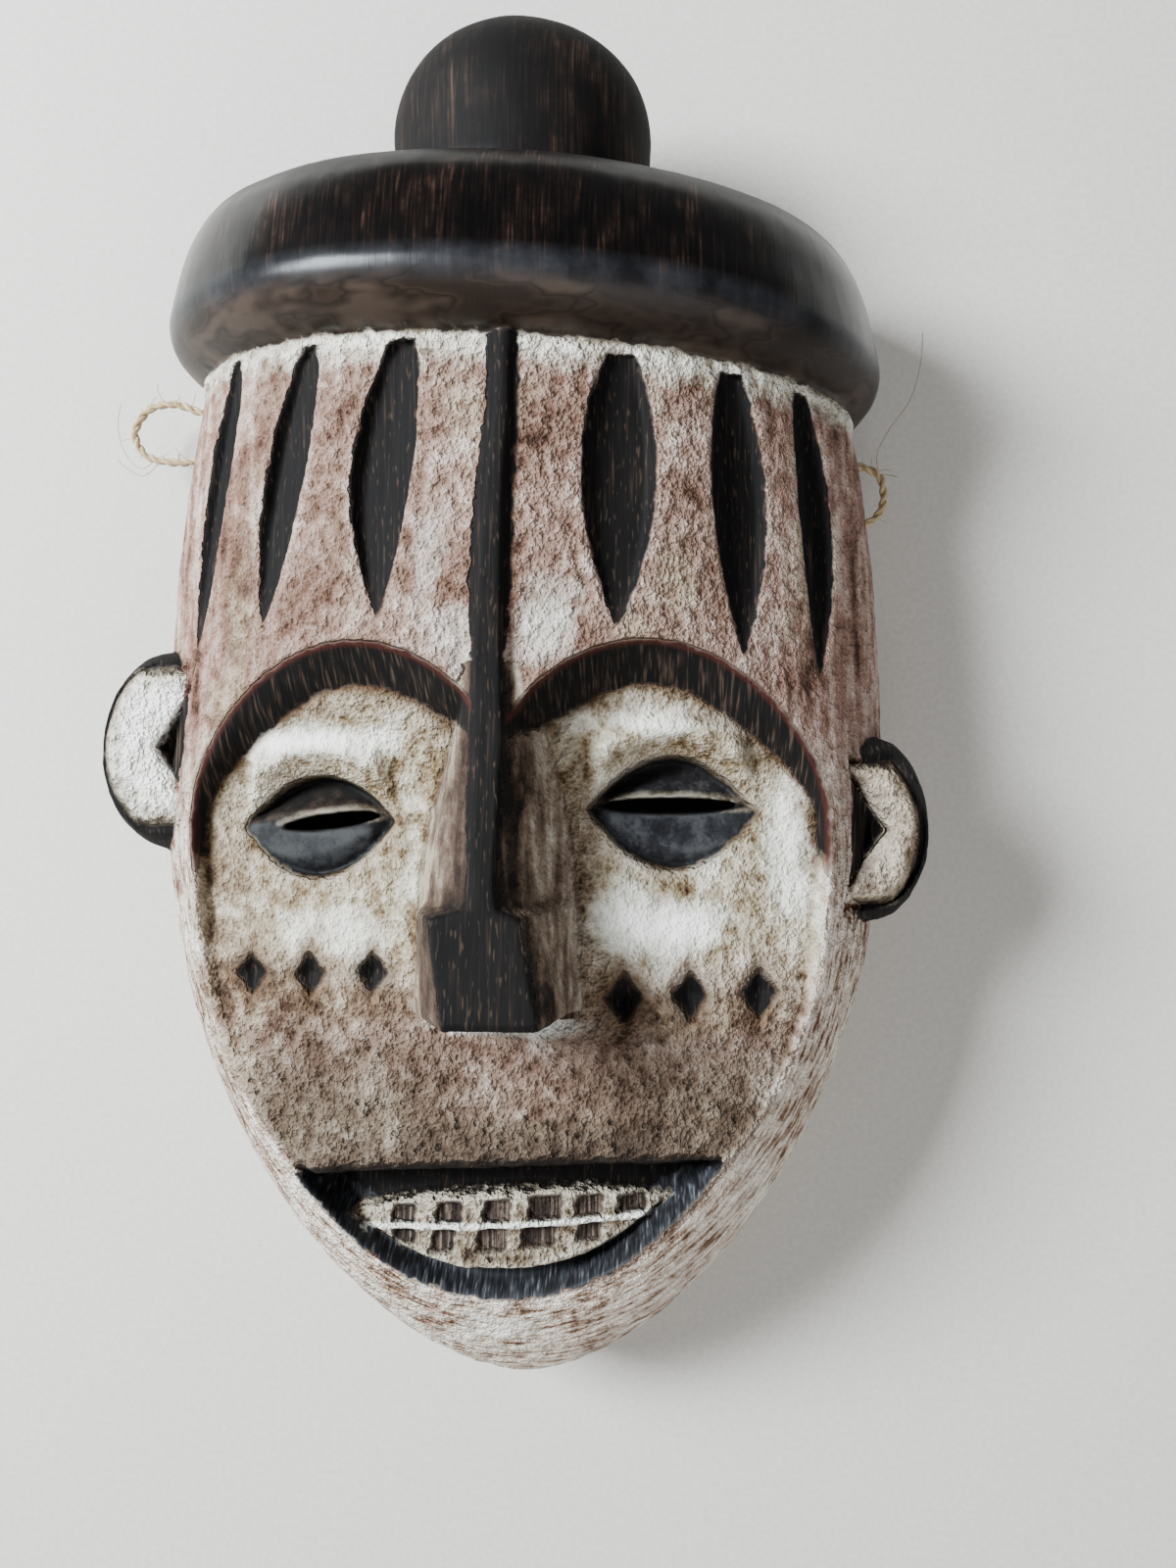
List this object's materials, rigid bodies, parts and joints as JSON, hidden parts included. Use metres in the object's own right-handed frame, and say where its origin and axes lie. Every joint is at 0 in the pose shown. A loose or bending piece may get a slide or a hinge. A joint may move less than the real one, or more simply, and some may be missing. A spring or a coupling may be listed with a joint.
{
  "type": "carved wooden mask",
  "caption": "Hollow carved wooden wall mask with a heart-shaped face, a rolled cap with a domed knob, side ears and a twine to hang it by.",
  "frame": {"origin": "middle of the mask in plan, on the plane of its back rim, on which it lies", "axes": "+Z out of the face, +Y from the chin to the cap, +X to the right of someone who looks at the face"},
  "size_m": [0.2026, 0.3214, 0.09],
  "materials": {
    "carved_wood": "matt kaolin over stained wood, satin black cap",
    "twine": "natural plant fibre"
  },
  "bodies": {
    "root": {"mask": "carved_wood", "twine": "twine", "knot_left": "twine", "knot_right": "twine"}
  },
  "joints": []
}
